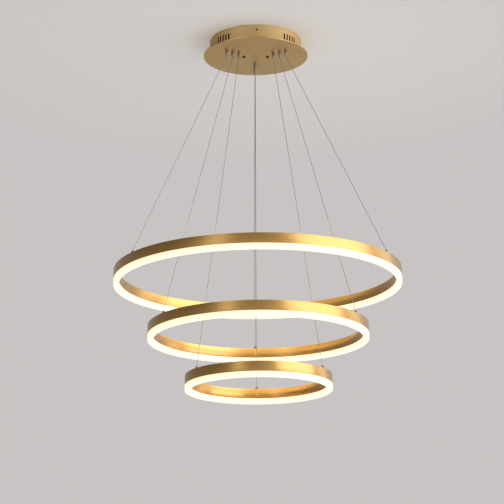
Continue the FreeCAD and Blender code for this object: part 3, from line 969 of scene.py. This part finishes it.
# A real strip is far brighter than a picture can show. A warm lamp over each ring, facing
# down, puts that glow on the inside of its channel.
glow_level = 0.78
glow_colour = (1.0, 0.87, 0.48)
glow_width = 0.85
glow_lift = 0.35
for ring in RINGS:
    ring_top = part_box(f"{ring}_ring_housing")[1]
    reach = glow_width * (ring_top.x - ring_width)
    lamp = bpy.data.lights.new(f"{ring}_glow", "AREA")
    lamp.shape = "DISK"
    lamp.size = 2 * reach
    lamp.energy = glow_level * math.pi * math.pi * reach ** 2
    lamp.color = glow_colour
    glow_stand = bpy.data.objects.new(f"{ring}_glow", lamp)
    bpy.context.collection.objects.link(glow_stand)
    glow_stand.location = (0, 0, ring_top.z + glow_lift * reach)
    glow_stand.visible_camera = False

# ------------------------------------------------------------------------- the grub screws
# Black socket grub screws, three in the inner wall of each channel. They press on the
# milky ring's tongue and keep it from dropping out.

grub_radius = 1.5 * MM
grub_ease = 0.2 * MM
grub_inset = 0.3 * MM
socket = hexagon(across_flats=1.5 * MM, angle=0.0)
for ring in RINGS:
    node = f"{ring}_ring_grub_screws"
    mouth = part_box(f"{ring}_ring_housing")[1].x - ring_width + grub_inset
    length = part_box(node)[1].y - mouth
    places = [outward_axis(mouth, turn, middle_of(node).z) for turn in SPOKES.values()]
    rows = [
        (POINT, 0.6 * length), (socket, 0.55 * length), (socket, 0.0),
        (grub_radius - grub_ease, 0.0), (grub_radius, 0.1 * length),
        (grub_radius, 0.9 * length), (grub_radius * 0.8, length)]
    screws(f"{ring}_ring_socket_screws", node, places, rows, f"{ring}_ring")

# --------------------------------------------------------------------------- the terminals
# Turned brass caps, plated dark bronze, that hold the wires on top of each ring. Their
# threaded stems go through the web and are held by nuts.

dark_bronze = new_material("dark_bronze", colour=(0.20, 0.145, 0.095), metallic=1.0,
                           roughness=0.35)
turning = turning_marks(dark_bronze, around=80.0, along=3500.0)
vary_colour(dark_bronze, speckle(dark_bronze, 400), darkest=0.7, lightest=1.3)
vary_roughness(dark_bronze, turning, low=0.25, high=0.45)
raise_surface(dark_bronze, turning, height=0.01 * MM)

cap_foot_radius = 5 * MM
cap_foot_height = 1.5 * MM
cap_foot_ease = 0.2 * MM
cap_top_radius = 2.3 * MM
cap_top_ease = 0.3 * MM
cap_mouth_radius = 0.9 * MM
cap_mouth_depth = 0.4 * MM
wire_hole_radius = 0.6 * MM
stem_radius = 2 * MM
stem_ease = 0.4 * MM
terminal_nut_width = 7 * MM
for ring in RINGS:
    low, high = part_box(f"{ring}_ring_terminals")
    ring_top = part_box(f"{ring}_ring_housing")[1].z
    cap_foot = ring_top + cap_foot_height
    spoke_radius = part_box(f"{ring}_ring_housing")[1].x - ring_width / 2
    work = bmesh.new()
    rows = [
        (wire_hole_radius, high.z - cap_mouth_depth), (cap_mouth_radius, high.z),
        (cap_top_radius - cap_top_ease, high.z), (cap_top_radius, high.z - cap_top_ease),
        (cap_top_radius + 0.35 * MM, high.z - 1.6 * MM),
        (cap_foot_radius - 1.4 * MM, cap_foot + 1.6 * MM),
        (cap_foot_radius - 0.4 * MM, cap_foot + 0.3 * MM), (cap_foot_radius, cap_foot),
        (cap_foot_radius, ring_top + cap_foot_ease),
        (cap_foot_radius - cap_foot_ease, ring_top), (stem_radius, ring_top),
        (stem_radius, low.z + stem_ease), (stem_radius - stem_ease, low.z)]
    for turn in SPOKES.values():
        turned(work, rows, place=polar(spoke_radius, turn, 0), segments=40)
    caps = finish_mesh(f"{ring}_ring_terminal_caps", work, dark_bronze)
    stands_for(caps, f"{ring}_ring", f"{ring}_ring_terminals")
    nut_low, nut_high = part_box(f"{ring}_ring_terminal_nuts")
    work = bmesh.new()
    for turn in SPOKES.values():
        hexagon_nut(work, terminal_nut_width, nut_low.z, nut_high.z,
                    polar(spoke_radius, turn, 0), turn, stem_radius + thread_room)
    stem_nuts = finish_mesh(f"{ring}_ring_stem_nuts", work, zinc_steel)
    stands_for(stem_nuts, f"{ring}_ring", f"{ring}_ring_terminal_nuts")

# ------------------------------------------------------------------------------- the wires
# Stranded steel in a clear jacket, tight from each gripper to its terminal. The surplus
# stands above the gripper inside the canopy, and shortens the wire when a ring is raised.

wire_steel = new_material("wire_steel", colour=(0.33, 0.33, 0.33), metallic=0.6,
                          roughness=0.35)
vary_colour(wire_steel, speckle(wire_steel, 800), darkest=0.75, lightest=1.2)
vary_roughness(wire_steel, speckle(wire_steel, 500), low=0.28, high=0.45)

wire_radius = 0.7 * MM
strand_depth = 0.12 * MM
strands = 6
twist_pitch = 12 * MM
rows_per_twist = 6
wire_segments = 18


def route_line(name, points):
    """The points along a smooth line through a short list of control points."""
    curve = bpy.data.curves.new(name, "CURVE")
    curve.dimensions = "3D"
    line = curve.splines.new("NURBS")
    line.points.add(len(points) - 1)
    for control, point in zip(line.points, points):
        control.co = (*point, 1)
    line.order_u = 3
    line.use_endpoint_u = True
    holder = bpy.data.objects.new(name, curve)
    mesh = bpy.data.meshes.new_from_object(holder)
    route = [vertex.co.copy() for vertex in mesh.vertices]
    bpy.data.objects.remove(holder)
    return route


def twisted_wire(name, start, end):
    """A straight twisted wire between two points, on the canopy."""
    route = route_line(name + "_route", [start, (start + end) / 2, end])
    length = (end - start).length
    along = (end - start).normalized()
    side = along.cross(Vector((0, 1, 0)) if abs(along.y) < 0.9 else Vector((1, 0, 0)))
    side.normalize()
    other = along.cross(side)
    steps = round(length / (twist_pitch / rows_per_twist))
    work = bmesh.new()
    loops = []
    for step in range(steps + 1):
        gone = length * step / steps
        loop = []
        for corner in range(wire_segments):
            turn = corner * math.tau / wire_segments
            lay = math.cos(strands * (turn - gone / twist_pitch * math.tau))
            reach = wire_radius - strand_depth * (0.5 - 0.5 * lay)
            offset = side * math.cos(turn) * reach + other * math.sin(turn) * reach
            # A level cut at both ends keeps the wire between its gripper and its terminal.
            point = start + along * gone + offset
            if step in (0, steps):
                point -= along * ((point.z - (start + along * gone).z) / along.z)
            loop.append(work.verts.new(point))
        loops.append(loop)
    for one, following in zip(loops, loops[1:]):
        for corner in range(wire_segments):
            after = (corner + 1) % wire_segments
            work.faces.new((one[corner], one[after], following[after], following[corner]))
    work.faces.new(loops[0])
    work.faces.new(loops[-1])
    made = finish_mesh(name, work, wire_steel, crease=60)
    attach(made, "canopy")
    return made, route, length


for ring in RINGS:
    spoke_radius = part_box(f"{ring}_ring_housing")[1].x - ring_width / 2
    for spoke, turn in SPOKES.items():
        node = f"{ring}_{spoke}_wire"
        low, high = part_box(node)
        middle = gripper_middles[ring, spoke]
        start = Vector((middle.x, middle.y, high.z))
        end = polar(spoke_radius, turn, low.z)
        wire, route, length = twisted_wire(f"{ring}_{spoke}_strand", start, end)
        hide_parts(node)
        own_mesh(wire)
        tail_top = Vector((middle.x, middle.y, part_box("wire_upper_ends")[1].z))
        tail, route, length = twisted_wire(f"{ring}_{spoke}_upper_end", start, tail_top)
        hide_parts("wire_upper_ends")
